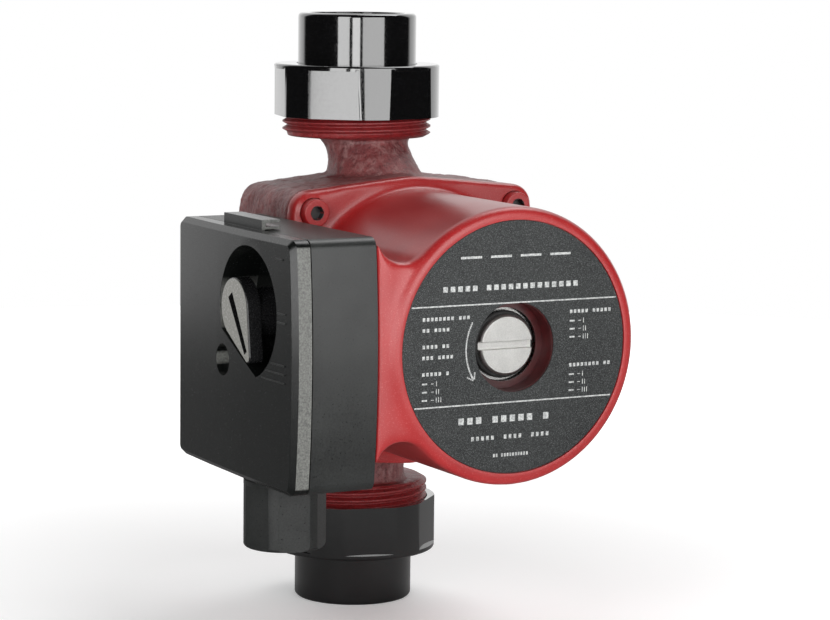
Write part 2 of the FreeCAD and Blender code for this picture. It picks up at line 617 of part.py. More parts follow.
def winding_leads():
    """Three insulated leads from the windings, turned up to the switch's underside."""
    leads = []
    for y in LEAD_Y:
        turn_x = -51.0
        across = rod(LEAD_R, turn_x, -30.2, "X", (y, GROMMET_Z))
        elbow = Part.makeSphere(LEAD_R, Vector(turn_x, y, GROMMET_Z))
        up = rod(LEAD_R, GROMMET_Z, KNOB_Z - 11, "Z", (turn_x, y))
        leads.append(joined([across, elbow, up]))
    return Part.makeCompound(leads)


# ---- cable gland -------------------------------------------------------------
GLAND_BOTTOM_Z = 33.0
GLAND_TOP_Z = 53.5
GLAND_SEAT_Z = 39.2
WASHER_TOP_Z = 41.2
SEAL_TOP_Z = 52.0


def gland_nut():
    """Six-sided cap nut with its corners turned off."""
    nut = soften(rod(GLAND_R, GLAND_BOTTOM_Z, GLAND_TOP_Z, "Z", GLAND_AXIS), 1.2,
                 lies_at("Z", GLAND_BOTTOM_Z))
    for side in range(6):
        outside = block((11.5, 20), (-20, 20), (GLAND_BOTTOM_Z - 1, GLAND_TOP_Z - 1.5))
        outside.rotate(Vector(0, 0, 0), Vector(0, 0, 1), 18 + 60 * side)
        outside.translate(Vector(GLAND_X, GLAND_Y, 0))
        nut = nut.cut(outside)
    nut = nut.cut(rod(SPOUT_R + GAP, GLAND_SEAT_Z, GLAND_TOP_Z + 1, "Z", GLAND_AXIS))
    return nut.cut(rod(6.0, GLAND_BOTTOM_Z - 1, GLAND_TOP_Z, "Z", GLAND_AXIS))


def gland_washer():
    return tube(9.4, 5.0, GLAND_SEAT_Z + GAP, WASHER_TOP_Z, "Z", GLAND_AXIS)


def gland_seal():
    return tube(7.4, CABLE_R, WASHER_TOP_Z, SEAL_TOP_Z, "Z", GLAND_AXIS)


# ---- every node --------------------------------------------------------------
upper_gasket = union_gasket()
upper_tail = tailpiece()
upper_nut = union_nut(-12.2 - 61.8)
lower_nut = mirrored(union_nut(16.9 - 61.8))

NODES = {
    "pump_housing": pump_housing(),
    "neck_ring": lathe([(EYE_R + 1.8, -20.0), (16.0, -20.0), (16.0, -12.2), (15.0, -12.2),
                        (EYE_R + 1.8, -13.4)]),
    "impeller": impeller(),
    "impeller_cone": lathe([(0, -20.0), (7.6, -20.0), (7.6, -18.6), (5.6, -15.6), (0, -15.6)]),
    "bearing_plate": bearing_plate(),
    "can_gasket": tube(39.4, 36.6, JOINT_Y - 0.5, -35.4),
    "inner_bearing": tube(10.0, SHAFT_R + RUNNING, -45.5, -35.0),
    "outer_bearing": tube(9.0, SHAFT_R + RUNNING, -88.3, -79.5),
    "shaft": tube(SHAFT_R, 1.6, -86.5, -20.0),
    "thrust_bearing": tube(9.0, SHAFT_R, -47.6, -45.8),
    "thrust_bearing_carrier": tube(9.4, SHAFT_R, -50.0, -47.6),
    "rotor_core": rotor_core(),
    "rotor_can": rotor_can(),
    "stator_core": stator_core(),
    "stator_windings": stator_windings(),
    "stator_housing": stator_housing(),
    "housing_screws": housing_screws(),
    "nameplate": tube(NAMEPLATE_R, VENT_WELL_R + 0.2, RIM_Y + 0.4, RIM_Y + 1.0),
    "vent_screw": vent_screw(),
    "vent_o_ring": vent_o_ring(),
    "upper_union_gasket": upper_gasket,
    "lower_union_gasket": mirrored(upper_gasket),
    "upper_tailpiece": upper_tail,
    "lower_tailpiece": mirrored(upper_tail),
    "upper_union_nut": upper_nut,
    "lower_union_nut": lower_nut,
    "terminal_box_base": terminal_box_base(),
    "terminal_box_cover": terminal_box_cover(),
    "cover_screw": cover_screw(),
    "base_screws": base_screws(),
    "speed_knob": speed_knob(),
    "speed_switch": speed_switch(),
    "switch_spindle": switch_spindle(),
    "terminal_block": terminal_block(),
    "terminal_screws": terminal_screws(),
    "earth_terminal": earth_terminal(),
    "capacitor": capacitor(),
    "lead_grommet": lead_grommet(),
    "winding_leads": winding_leads(),
    "gland_nut": gland_nut(),
    "gland_washer": gland_washer(),
    "gland_seal": gland_seal(),
}

for name, shape in NODES.items():
    if not shape.isValid():
        raise ValueError(name + " is not a valid shape")
    shape.exportStep("parts/" + name + ".step")
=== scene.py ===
import json
import math

import bmesh
import bpy
import numpy as np
from mathutils import Matrix, Vector, noise
from mathutils.bvhtree import BVHTree

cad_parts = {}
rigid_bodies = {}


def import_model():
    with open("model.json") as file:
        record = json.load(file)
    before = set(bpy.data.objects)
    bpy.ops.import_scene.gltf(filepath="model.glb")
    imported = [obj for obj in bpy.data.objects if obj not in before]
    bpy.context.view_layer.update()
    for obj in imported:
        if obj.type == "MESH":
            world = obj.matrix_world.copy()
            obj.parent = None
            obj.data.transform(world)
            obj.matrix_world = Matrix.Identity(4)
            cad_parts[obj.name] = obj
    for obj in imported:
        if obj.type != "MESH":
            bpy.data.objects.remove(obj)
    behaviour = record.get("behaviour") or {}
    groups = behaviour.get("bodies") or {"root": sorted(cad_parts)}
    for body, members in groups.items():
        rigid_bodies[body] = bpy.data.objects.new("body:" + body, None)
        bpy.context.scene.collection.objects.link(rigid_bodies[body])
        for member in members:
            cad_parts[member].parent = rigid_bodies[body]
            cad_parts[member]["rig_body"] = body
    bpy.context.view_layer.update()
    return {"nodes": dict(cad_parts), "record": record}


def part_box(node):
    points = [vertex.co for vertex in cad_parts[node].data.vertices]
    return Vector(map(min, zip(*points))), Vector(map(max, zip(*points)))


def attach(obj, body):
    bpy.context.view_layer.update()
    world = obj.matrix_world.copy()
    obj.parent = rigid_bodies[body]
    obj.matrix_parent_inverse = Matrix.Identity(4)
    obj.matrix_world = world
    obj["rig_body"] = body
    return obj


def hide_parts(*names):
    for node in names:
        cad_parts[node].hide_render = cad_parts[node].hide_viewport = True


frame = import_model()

# Looks of a wet-rotor circulator pump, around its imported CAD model. All sizes are in metres:
# +Z runs up the pipe axis, the motor faces -Y and the terminal box faces -X.

MM = 0.001
SLOT_OF = {row["node"]: row["material_slot"] for row in frame["record"]["subparts"]}

# ---- places read from the CAD model --------------------------------------------
HOUSING_LOW, HOUSING_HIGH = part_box("stator_housing")
PLATE_LOW, PLATE_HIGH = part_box("nameplate")
CORE_LOW, CORE_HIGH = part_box("stator_core")
COVER_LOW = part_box("terminal_box_cover")[0]
KNOB_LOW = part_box("speed_knob")[0]
SPINDLE_LOW, SPINDLE_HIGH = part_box("switch_spindle")
SCREWS_LOW, SCREWS_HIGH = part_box("housing_screws")
PUMP_LOW, PUMP_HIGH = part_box("pump_housing")

AXIS_Z = (CORE_LOW.z + CORE_HIGH.z) / 2
RIM_Y = HOUSING_LOW.y
JOINT_Y = HOUSING_HIGH.y
FLANGE_THICKNESS = 5.0 * MM
FLANGE_Y = JOINT_Y - FLANGE_THICKNESS
PLATE_Y = PLATE_LOW.y
PLATE_R = (PLATE_HIGH.x - PLATE_LOW.x) / 2
PLATE_SEAT_Y = PLATE_HIGH.y
BARREL_R = 41.3 * MM
WELL_R = 13.1 * MM
VENT_HOLE_R = 11.0 * MM
WELL_FLOOR_Y = -97.0 * MM
BOSS_BACK_Y = -96.5 * MM
BOLT_HEAD_R = 4.25 * MM
SOCKET_R = 2.1 * MM
BOLT_OFFSET = (SCREWS_HIGH.x - SCREWS_LOW.x) / 2 - BOLT_HEAD_R
BOLTS = [(sx * BOLT_OFFSET, AXIS_Z + sz * BOLT_OFFSET) for sx in (-1, 1) for sz in (-1, 1)]
PORT_HIGH = PUMP_HIGH.z
PORT_LOW = PUMP_LOW.z
THREAD_R = 23.9 * MM
THREAD_ROOT_R = 22.43 * MM
THREAD_PITCH = 2.309 * MM
PORT_LENGTH = 9.4 * MM
WATER_BORE_R = 12.0 * MM
KNOB_Y = (SPINDLE_LOW.y + SPINDLE_HIGH.y) / 2
KNOB_Z = AXIS_Z + 9.3 * MM
KNOB_WELL_FLOOR_X = -60.0 * MM
CAST_VOXEL = 0.62 * MM
MOTOR_VOXEL = 0.56 * MM
BOLT_HOLE_R = 2.75 * MM
COUNTERBORE_R = BOLT_HEAD_R + 0.35 * MM
COUNTERBORE_Y = FLANGE_Y + 1.2 * MM


# ---- materials -------------------------------------------------------------------
class Finish:
    """A node material: one Principled shader fed by procedural textures in metres."""

    def __init__(self, name, roughness=0.5, metallic=0.0, coat=0.0, coat_roughness=0.1):
        self.material = bpy.data.materials.new(name)
        self.material.use_nodes = True
        self.tree = self.material.node_tree
        self.tree.nodes.clear()
        output = self.add("ShaderNodeOutputMaterial")
        self.shader = self.add("ShaderNodeBsdfPrincipled")
        self.shader.inputs["Roughness"].default_value = roughness
        self.shader.inputs["Metallic"].default_value = metallic
        self.shader.inputs["Coat Weight"].default_value = coat
        self.shader.inputs["Coat Roughness"].default_value = coat_roughness
        self.join(self.shader.outputs["BSDF"], output.inputs["Surface"])
        self.place = self.add("ShaderNodeTexCoord").outputs["Object"]

    def add(self, kind, **settings):
        node = self.tree.nodes.new(kind)
        for key, value in settings.items():
            setattr(node, key, value)
        return node

    def join(self, source, target):
        self.tree.links.new(source, target)

    def value(self, socket, source):
        """Fills an input with a link or with a plain number."""
        if isinstance(source, bpy.types.NodeSocket):
            self.join(source, socket)
        else:
            socket.default_value = source

    def stretched(self, scale):
        node = self.add("ShaderNodeMapping")
        self.join(self.place, node.inputs["Vector"])
        node.inputs["Scale"].default_value = scale
        return node.outputs["Vector"]

    def noise(self, grain, detail=2.0, place=None, roughness=0.5):
        node = self.add("ShaderNodeTexNoise")
        self.join(place or self.place, node.inputs["Vector"])
        node.inputs["Scale"].default_value = 1.0 / grain
        node.inputs["Detail"].default_value = detail
        node.inputs["Roughness"].default_value = roughness
        return node.outputs["Fac"]

    def cells(self, grain, place=None):
        node = self.add("ShaderNodeTexVoronoi")
        self.join(place or self.place, node.inputs["Vector"])
        node.inputs["Scale"].default_value = 1.0 / grain
        return node.outputs["Distance"]

    def bands(self, pitch, direction, kind="BANDS"):
        node = self.add("ShaderNodeTexWave", wave_type=kind)
        if kind == "BANDS":
            node.bands_direction = direction
        else:
            node.rings_direction = direction
        self.join(self.place, node.inputs["Vector"])
        node.inputs["Scale"].default_value = 1.0 / (pitch * 20 / math.tau * 2)
        return node.outputs["Fac"]

    def span(self, source, low, high, to_low=0.0, to_high=1.0):
        node = self.add("ShaderNodeMapRange")
        self.join(source, node.inputs["Value"])
        for key, value in (("From Min", low), ("From Max", high), ("To Min", to_low), ("To Max", to_high)):
            node.inputs[key].default_value = value
        return node.outputs["Result"]

    def math(self, operation, first, second):
        node = self.add("ShaderNodeMath", operation=operation)
        self.value(node.inputs[0], first)
        self.value(node.inputs[1], second)
        return node.outputs["Value"]

    def blend(self, factor, first, second):
        """Colour between two others; each may be a colour or a link."""
        node = self.add("ShaderNodeMix", data_type="RGBA")
        self.value(node.inputs["Factor"], factor)
        for socket, source in ((node.inputs[6], first), (node.inputs[7], second)):
            self.value(socket, source if isinstance(source, bpy.types.NodeSocket) else (*source, 1.0))
        return node.outputs[2]

    def facing(self, direction, low, high):
        """1 where the surface faces `direction`, fading to 0 as it turns away."""
        node = self.add("ShaderNodeVectorMath", operation="DOT_PRODUCT")
        self.join(self.add("ShaderNodeNewGeometry").outputs["Normal"], node.inputs[0])
        node.inputs[1].default_value = direction
        return self.span(node.outputs["Value"], low, high)

    def along(self, axis):
        """One coordinate of the piece, in metres."""
        node = self.add("ShaderNodeSeparateXYZ")
        self.join(self.place, node.inputs["Vector"])
        return node.outputs[axis]

    def size_of(self, source):
        return self.math("ABSOLUTE", source, 0.0)

    def above_axis(self):
        """Height above the motor's axis."""
        return self.math("SUBTRACT", self.along("Z"), AXIS_Z)

    def reach(self, across, up):
        """Length of a step across and a step up."""
        squares = [self.math("MULTIPLY", step, step) for step in (across, up)]
        return self.math("SQRT", self.math("ADD", *squares), 0.0)

    def colour(self, source):
        self.join(source, self.shader.inputs["Base Color"])

    def rough(self, source):
        self.join(source, self.shader.inputs["Roughness"])

    def bump(self, *layers):
        """Stacks (height, depth in metres) layers into the shader's normal."""
        normal = None
        for height, depth in layers:
            node = self.add("ShaderNodeBump")
            node.inputs["Strength"].default_value = 1.0
            node.inputs["Distance"].default_value = depth
            self.join(height, node.inputs["Height"])
            if normal:
                self.join(normal, node.inputs["Normal"])
            normal = node.outputs["Normal"]
        self.join(normal, self.shader.inputs["Normal"])


def painted_cast_iron():
    """Thick paint over rough sand-cast iron: blotchy, pitted and dusty, with a painted highlight in pale
    pink on its convex edges. The threads are cut afterwards and carry smoother, redder paint."""
    look = Finish("red_cast_iron", roughness=0.5, coat=0.3, coat_roughness=0.36)
    pits = look.noise(1.0 * MM, 4.0, roughness=0.65)
    streaks = look.noise(2.4 * MM, 3.0, look.stretched((1.0, 1.0, 0.4)), 0.6)
    patches = look.noise(9 * MM, 3.0)
    paint = look.blend(look.span(patches, 0.35, 0.65), (0.150, 0.030, 0.032), (0.245, 0.062, 0.062))
    dust = look.math("MULTIPLY", look.span(streaks, 0.48, 0.66), look.span(pits, 0.35, 0.6, 0.2, 1.0))
    paint = look.blend(look.math("MULTIPLY", dust, 0.5), paint, (0.38, 0.23, 0.22))
    paint = look.blend(look.span(pits, 0.28, 0.46, 0.85, 0.0), paint, (0.045, 0.009, 0.011))
    # Painted highlight: convex edges (high pointiness) are coloured pale pink, broken up by the streaks, for
    # the light they catch.
    pointy = look.add("ShaderNodeNewGeometry").outputs["Pointiness"]
    painted_edge_highlight = look.math("MULTIPLY", look.span(pointy, 0.515, 0.60), look.span(streaks, 0.35, 0.6, 0.25, 0.8))
    paint = look.blend(painted_edge_highlight, paint, (0.42, 0.15, 0.14))
    thread_start = PORT_HIGH - AXIS_Z - PORT_LENGTH
    cut = look.span(look.size_of(look.above_axis()), thread_start - 0.5 * MM, thread_start)
    thread = look.blend(look.span(pits, 0.3, 0.6), (0.17, 0.008, 0.010), (0.27, 0.014, 0.016))
    look.colour(look.blend(cut, paint, thread))
    look.rough(look.span(streaks, 0.3, 0.7, 0.40, 0.64))
    look.bump((streaks, 0.75 * MM), (pits, 0.42 * MM))
    return look.material


def red_paint(look):
    """Colour of the satin red paint, with dust in it and a painted highlight, a brighter red, on its convex
    edges.
    """
    patches = look.noise(24 * MM, 2.0)
    dust = look.noise(0.35 * MM, 1.0)
    paint = look.blend(look.span(patches, 0.3, 0.7), (0.32, 0.011, 0.013), (0.39, 0.017, 0.018))
    paint = look.blend(look.span(dust, 0.58, 0.76, 0.0, 0.45), paint, (0.52, 0.14, 0.13))
    # Painted highlight: convex edges (high pointiness) are coloured a brighter red.
    pointy = look.add("ShaderNodeNewGeometry").outputs["Pointiness"]
    return look.blend(look.span(pointy, 0.53, 0.62, 0.0, 0.35), paint, (0.56, 0.07, 0.065))


def painted_aluminium():
    """Smooth satin paint with faint orange peel, a painted highlight on its edges, and painted shade,
    near-black red, in the vent well.
    """
    look = Finish("red_aluminium", roughness=0.36, coat=0.5, coat_roughness=0.28)
    reach = look.reach(look.along("X"), look.above_axis())
    # Painted shade: everything within the well's radius of the axis is coloured near-black red.
    painted_well_shade = look.blend(look.noise(3 * MM), (0.020, 0.002, 0.003), (0.085, 0.004, 0.005))
    look.colour(look.blend(look.span(reach, WELL_R + 0.3 * MM, WELL_R + 0.5 * MM), painted_well_shade, red_paint(look)))
    look.rough(look.span(look.noise(24 * MM, 2.0), 0.3, 0.7, 0.31, 0.42))
    look.bump((look.noise(0.9 * MM, 2.0), 0.035 * MM), (look.noise(0.35 * MM, 1.0), 0.012 * MM))
    return look.material


def painted_screws():
    """Housing screws: heads painted over with the motor, sockets left dark."""
    look = Finish("painted_screws", roughness=0.40, coat=0.4, coat_roughness=0.3)
    reach = look.reach(*[look.math("SUBTRACT", look.size_of(source), BOLT_OFFSET)
                         for source in (look.along("X"), look.above_axis())])
    marks = look.noise(0.4 * MM, 3.0)
    bare = look.blend(look.span(marks, 0.3, 0.7), (0.003, 0.003, 0.003), (0.010, 0.010, 0.010))
    look.colour(look.blend(look.span(reach, SOCKET_R, SOCKET_R + 0.3 * MM), bare, red_paint(look)))
    look.rough(look.span(marks, 0.3, 0.7, 0.33, 0.5))
    look.bump((marks, 0.02 * MM))
    return look.material


def gloss_black():
    """Wet black lacquer on malleable iron: mirror gloss with faint orange peel."""
    look = Finish("black_union_iron", roughness=0.10, coat=1.0, coat_roughness=0.03)
    look.shader.inputs["IOR"].default_value = 1.6
    look.shader.inputs["Coat IOR"].default_value = 1.75
    lumps = look.noise(7 * MM, 2.0)
    peel = look.noise(0.7 * MM, 3.0)
    look.colour(look.blend(look.span(peel, 0.35, 0.7), (0.0012, 0.0012, 0.0014), (0.0035, 0.0035, 0.0038)))
    look.rough(look.span(peel, 0.3, 0.7, 0.07, 0.18))
    look.bump((lumps, 0.03 * MM), (peel, 0.006 * MM))
    return look.material


def moulded_plastic(name, dark, light, roughness, grain=0.45 * MM, depth=0.03 * MM):
    """Spark-eroded moulded plastic: a fine even grain with faint flow patches."""
    look = Finish(name, roughness=roughness)
    patches = look.noise(18 * MM, 2.0)
    grains = look.noise(grain, 3.0, roughness=0.6)
    mixed = look.math("ADD", look.span(patches, 0.3, 0.7, 0.0, 0.5), look.span(grains, 0.3, 0.7, 0.0, 0.5))
    look.colour(look.blend(mixed, dark, light))
    look.rough(look.span(grains, 0.3, 0.7, roughness - 0.07, roughness + 0.09))
    look.bump((grains, depth))
    return look.material


def box_cover_plastic():
    """Cover moulding: smooth bowed face; walls facing the front are rougher and painted a paler grey, a
    painted highlight for the light they catch.
    """
    look = Finish("box_cover_plastic", roughness=0.30)
    patches = look.noise(18 * MM, 2.0)
    grains = look.noise(0.55 * MM, 3.0, roughness=0.6)
    mixed = look.math("ADD", look.span(patches, 0.3, 0.7, 0.0, 0.5), look.span(grains, 0.3, 0.7, 0.0, 0.5))
    face = look.blend(mixed, (0.003, 0.0036, 0.0034), (0.0065, 0.0074, 0.0070))
    # Painted highlight: surfaces facing the front (-Y), such as the well's far wall, are coloured pale grey
    # instead of black.
    wall = look.blend(look.span(grains, 0.35, 0.65), (0.080, 0.082, 0.076), (0.185, 0.188, 0.175))
    front = look.facing((0.0, -1.0, 0.0), 0.90, 0.97)
    look.colour(look.blend(front, face, wall))
    look.rough(look.math("ADD", look.span(grains, 0.3, 0.7, 0.20, 0.28), look.math("MULTIPLY", front, 0.2)))
    look.bump((grains, 0.004 * MM))
    return look.material


def knob_plastic():
    """Glossy black knob whose outward face is painted a satin grey, a painted highlight for the light it
    catches.
    """
    look = Finish("black_knob_plastic", roughness=0.25)
    grains = look.noise(0.5 * MM, 3.0)
    body = look.blend(look.span(grains, 0.3, 0.7), (0.005, 0.005, 0.0055), (0.012, 0.012, 0.0125))
    # Painted highlight: the face turned outward (-X) at the knob's outer end is coloured pale grey; the rest
    # stays black.
    plate = look.blend(look.span(grains, 0.3, 0.7), (0.235, 0.232, 0.215), (0.275, 0.272, 0.250))
    face = look.math("MULTIPLY", look.facing((-1.0, 0.0, 0.0), 0.80, 0.95),
                     look.span(look.along("X"), KNOB_LOW.x + 0.45 * MM, KNOB_LOW.x + 0.6 * MM, 1.0, 0.0))
    look.colour(look.blend(face, body, plate))
    look.rough(look.span(grains, 0.3, 0.7, 0.20, 0.30))
    look.bump((grains, 0.003 * MM))
    return look.material


def metal(name, dark, light, roughness, grain=0.4 * MM, depth=0.01 * MM, stretch=(1.0, 1.0, 1.0)):
    """Bare or plated metal with tool marks along the stretched direction."""
    look = Finish(name, roughness=roughness, metallic=1.0)
    marks = look.noise(grain, 3.0, look.stretched(stretch), 0.6)
    clouds = look.noise(6 * MM, 2.0)
    mixed = look.math("ADD", look.span(marks, 0.3, 0.7, 0.0, 0.6), look.span(clouds, 0.3, 0.7, 0.0, 0.4))
    look.colour(look.blend(mixed, dark, light))
    look.rough(look.span(marks, 0.3, 0.7, roughness - 0.08, roughness + 0.10))
    look.bump((marks, depth))
    return look.material


def ribbed(name, dark, light, pitch, direction, metallic, roughness, depth, kind="BANDS"):
    """Rows at a fixed pitch: stacked sheets or wound wire."""
    look = Finish(name, roughness=roughness, metallic=metallic)
    rows = look.bands(pitch, direction, kind)
    blotches = look.noise(1.5 * MM, 3.0)
    tone = look.math("MULTIPLY", look.span(rows, 0.1, 0.7, 0.25, 1.0),
                     look.span(blotches, 0.2, 0.8, 0.7, 1.0))
    look.colour(look.blend(tone, dark, light))
    look.rough(look.span(blotches, 0.3, 0.7, roughness - 0.08, roughness + 0.1))
    look.bump((rows, depth))
    return look.material


def printed_foil():
    """Dark anodised plate with a sparkling fine grain."""
    look = Finish("nameplate_foil", roughness=0.42, metallic=0.55)
    sparkle = look.cells(0.42 * MM)
    grain = look.noise(0.30 * MM, 2.0)
    patches = look.noise(20 * MM, 2.0)
    base = look.blend(look.span(patches, 0.3, 0.7), (0.020, 0.0215, 0.022), (0.031, 0.033, 0.033))
    base = look.blend(look.span(grain, 0.38, 0.66), base, (0.062, 0.066, 0.066))
    look.colour(look.blend(look.span(sparkle, 0.10, 0.32, 0.5, 0.0), base, (0.32, 0.33, 0.33)))
    look.rough(look.span(grain, 0.3, 0.7, 0.34, 0.52))
    look.bump((grain, 0.025 * MM))
    return look.material


def rubber():
    look = Finish("rubber_seal", roughness=0.66)
    bloom = look.noise(2.2 * MM, 4.0)
    look.colour(look.blend(look.span(bloom, 0.35, 0.7), (0.010, 0.010, 0.010), (0.030, 0.030, 0.029)))
    look.rough(look.span(bloom, 0.3, 0.7, 0.55, 0.8))
    look.bump((bloom, 0.05 * MM))
    return look.material


def silver_print():
    look = Finish("silver_print", roughness=0.4, metallic=0.3)
    wear = look.noise(0.5 * MM, 3.0)
    look.colour(look.blend(look.span(wear, 0.35, 0.6), (0.30, 0.31, 0.31), (0.62, 0.63, 0.62)))
    look.rough(look.span(wear, 0.3, 0.7, 0.3, 0.5))
    return look.material


FINISHES = {
    "red_cast_iron": painted_cast_iron(),
    "red_aluminium": painted_aluminium(),
    "black_union_iron": gloss_black(),
    "black_box_plastic": moulded_plastic("black_box_plastic", (0.007, 0.0078, 0.0078),
                                         (0.031, 0.0328, 0.0316), 0.34, 0.55 * MM, 0.014 * MM),
    "black_knob_plastic": knob_plastic(),
    "nameplate_foil": printed_foil(),
    "nickel_plate": metal("nickel_plate", (0.56, 0.555, 0.535), (0.80, 0.795, 0.77), 0.42,
                          0.30 * MM, 0.03 * MM),
    "stainless_sheet": metal("stainless_sheet", (0.42, 0.42, 0.41), (0.62, 0.62, 0.60), 0.30, 0.5 * MM,
                             0.01 * MM, (1.0, 0.1, 1.0)),
    "zinc_steel": metal("zinc_steel", (0.50, 0.51, 0.50), (0.72, 0.73, 0.70), 0.32),
    "black_screw_steel": metal("black_screw_steel", (0.02, 0.02, 0.022), (0.07, 0.07, 0.075), 0.34),
    "lamination_steel": ribbed("lamination_steel", (0.10, 0.10, 0.105), (0.42, 0.42, 0.43), 0.5 * MM, "Y",
                               0.9, 0.42, 0.03 * MM),
    "copper_winding": ribbed("copper_winding", (0.22, 0.07, 0.025), (0.78, 0.33, 0.14), 0.6 * MM, "Y",
                             0.9, 0.30, 0.12 * MM, "RINGS"),
    "terminal_brass": metal("terminal_brass", (0.55, 0.38, 0.13), (0.78, 0.58, 0.24), 0.30),
    "carbon_bearing": moulded_plastic("carbon_bearing", (0.012, 0.012, 0.013), (0.035, 0.035, 0.037), 0.40),
    "ceramic": moulded_plastic("ceramic", (0.66, 0.65, 0.61), (0.76, 0.75, 0.72), 0.22, 0.3 * MM, 0.005 * MM),
    "impeller_composite": moulded_plastic("impeller_composite", (0.42, 0.35, 0.22), (0.55, 0.47, 0.32), 0.42),
    "rubber_seal": rubber(),
    "white_insulator": moulded_plastic("white_insulator", (0.58, 0.58, 0.54), (0.70, 0.70, 0.66), 0.42),
    "lead_insulation": moulded_plastic("lead_insulation", (0.025, 0.035, 0.20), (0.05, 0.07, 0.34), 0.38),
}
PRINT = silver_print()
OWN_FINISHES = {"terminal_box_cover": box_cover_plastic(), "housing_screws": painted_screws()}


# ---- mesh tools --------------------------------------------------------------------
def piece_from(bm, name, slot, body, material=None, sharp_deg=38.0):
    """Turns a bmesh into a finished piece that rides on a CAD body."""
    bmesh.ops.recalc_face_normals(bm, faces=bm.faces)
    mesh = bpy.data.meshes.new(name)
    bm.to_mesh(mesh)
    bm.free()
    piece = bpy.data.objects.new(name, mesh)
    bpy.context.scene.collection.objects.link(piece)
    mesh.materials.append(material or FINISHES[slot])
    mesh.shade_smooth()
    mesh.set_sharp_from_angle(angle=math.radians(sharp_deg))
    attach(piece, body)
    return piece


def cad_copy(node):
    """A welded bmesh of a CAD node."""
    bm = bmesh.new()
    bm.from_mesh(frame["nodes"][node].data)
    bmesh.ops.remove_doubles(bm, verts=bm.verts, dist=2e-6)
    return bm


def add_drum(bm, centre, radius, start_y, end_y, segments=96):
    """Closed cylinder along Y, round (x, z)."""
    turn = Matrix.Rotation(math.pi / 2, 4, "X")
    shift = Matrix.Translation((centre[0], (start_y + end_y) / 2, centre[1]))
    bmesh.ops.create_cone(bm, cap_ends=True, segments=segments, radius1=radius, radius2=radius,
                          depth=abs(end_y - start_y), matrix=shift @ turn)


def remeshed(bm, voxel):
    """Even skin over closed, overlapping solids."""
    mesh = bpy.data.meshes.new("skin")
    bm.to_mesh(mesh)
    bm.free()
    holder = bpy.data.objects.new("skin", mesh)
    bpy.context.scene.collection.objects.link(holder)
    modifier = holder.modifiers.new("skin", "REMESH")
    modifier.mode = "VOXEL"
    modifier.voxel_size = voxel
    modifier.adaptivity = 0.0
    skin = bpy.data.meshes.new_from_object(holder.evaluated_get(bpy.context.evaluated_depsgraph_get()))
    bpy.data.objects.remove(holder)
    return skin


def points_of(mesh):
    points = np.empty(len(mesh.vertices) * 3)
    mesh.vertices.foreach_get("co", points)
    return points.reshape(-1, 3)


def relax(mesh, rounds, share):
    """Moves each vertex towards its neighbours' mean, by the share given for it."""
    points = points_of(mesh)
    edges = np.empty(len(mesh.edges) * 2, int)
    mesh.edges.foreach_get("vertices", edges)
    first, second = edges.reshape(-1, 2).T
    ends, others = np.concatenate([first, second]), np.concatenate([second, first])
    count = np.bincount(ends, minlength=len(points))[:, None]
    for _ in range(rounds):
        total = np.stack([np.bincount(ends, points[others, k], len(points)) for k in range(3)], 1)
        points += share[:, None] * (total / count - points)
    mesh.vertices.foreach_set("co", points.ravel())
    mesh.update()


def ramp(values, low, high):
    return np.clip((values - low) / (high - low), 0.0, 1.0)


def open_bore(bm, centre, face_y, steps, margin=0.45 * MM):
    """Cuts a round hole in a flat face across Y and lines it with turned steps of (radius, y).
    Returns the last ring's edges."""
    first_r = steps[0][0]

    def inside(vert):
        reach = math.hypot(vert.co.x - centre[0], vert.co.z - centre[1])
        return reach < first_r + margin and abs(vert.co.y - face_y) < 0.9 * MM

    doomed = [face for face in bm.faces if all(inside(vert) for vert in face.verts)]
    bmesh.ops.delete(bm, geom=doomed, context="FACES")
    ring = [edge for edge in bm.edges if edge.is_boundary and all(inside(vert) for vert in edge.verts)]
    for number, (radius, y) in enumerate(steps):
        if number:
            grown = bmesh.ops.extrude_edge_only(bm, edges=ring)["geom"]
            ring = [item for item in grown if isinstance(item, bmesh.types.BMEdge)
                    and item.is_boundary]
        for vert in {vert for edge in ring for vert in edge.verts}:
            offset = Vector((vert.co.x - centre[0], vert.co.z - centre[1])).normalized() * radius
            vert.co = Vector((centre[0] + offset.x, y, centre[1] + offset.y))
    return ring


# ---- castings ------------------------------------------------------------------------
def add_threaded_port(bm, inner_z, outer_z):
    """Port barrel with a real helical thread outside and a plain water bore."""
    columns = 120
    length = abs(outer_z - inner_z)
    upward = 1.0 if outer_z > inner_z else -1.0
    profile = [(0.0, 0.0), (0.10, 0.0), (0.45, 1.0), (0.62, 1.0)]
    depth = THREAD_R - THREAD_ROOT_R
    turns = math.ceil(length / THREAD_PITCH) + 1
    rows = []
    for turn in range(-1, turns):
        for at, rise in profile:
            row = []
            for column in range(columns + 1):
                height = (turn + at + column / columns) * THREAD_PITCH
                kept = min(max(height, 0.0), length)
                radius = THREAD_ROOT_R + rise * depth
                lead_in = THREAD_ROOT_R - 0.5 * MM + kept * 1.8
                lead_out = THREAD_ROOT_R + (length - kept) * 1.2
                if kept != height:
                    radius = lead_in if kept == 0.0 else lead_out
                radius = min(radius, lead_in, lead_out)
                angle = math.tau * column / columns * upward
                row.append((radius, angle, inner_z + upward * kept))
            rows.append(row)
    for radius, z in ((WATER_BORE_R, outer_z), (WATER_BORE_R, inner_z)):
        rows.append([(radius, math.tau * column / columns * upward, z) for column in range(columns + 1)])
    rows.append([(THREAD_ROOT_R - 0.5 * MM, math.tau * column / columns * upward, inner_z)
                 for column in range(columns + 1)])
    made = [[bm.verts.new((radius * math.cos(angle), radius * math.sin(angle), z))
             for radius, angle, z in row] for row in rows]
    for low, high in zip(made, made[1:]):
        for column in range(columns):
            bm.faces.new((low[column], low[column + 1], high[column + 1], high[column]))
    new = [vert for row in made for vert in row]
    bmesh.ops.remove_doubles(bm, verts=new, dist=2e-6)


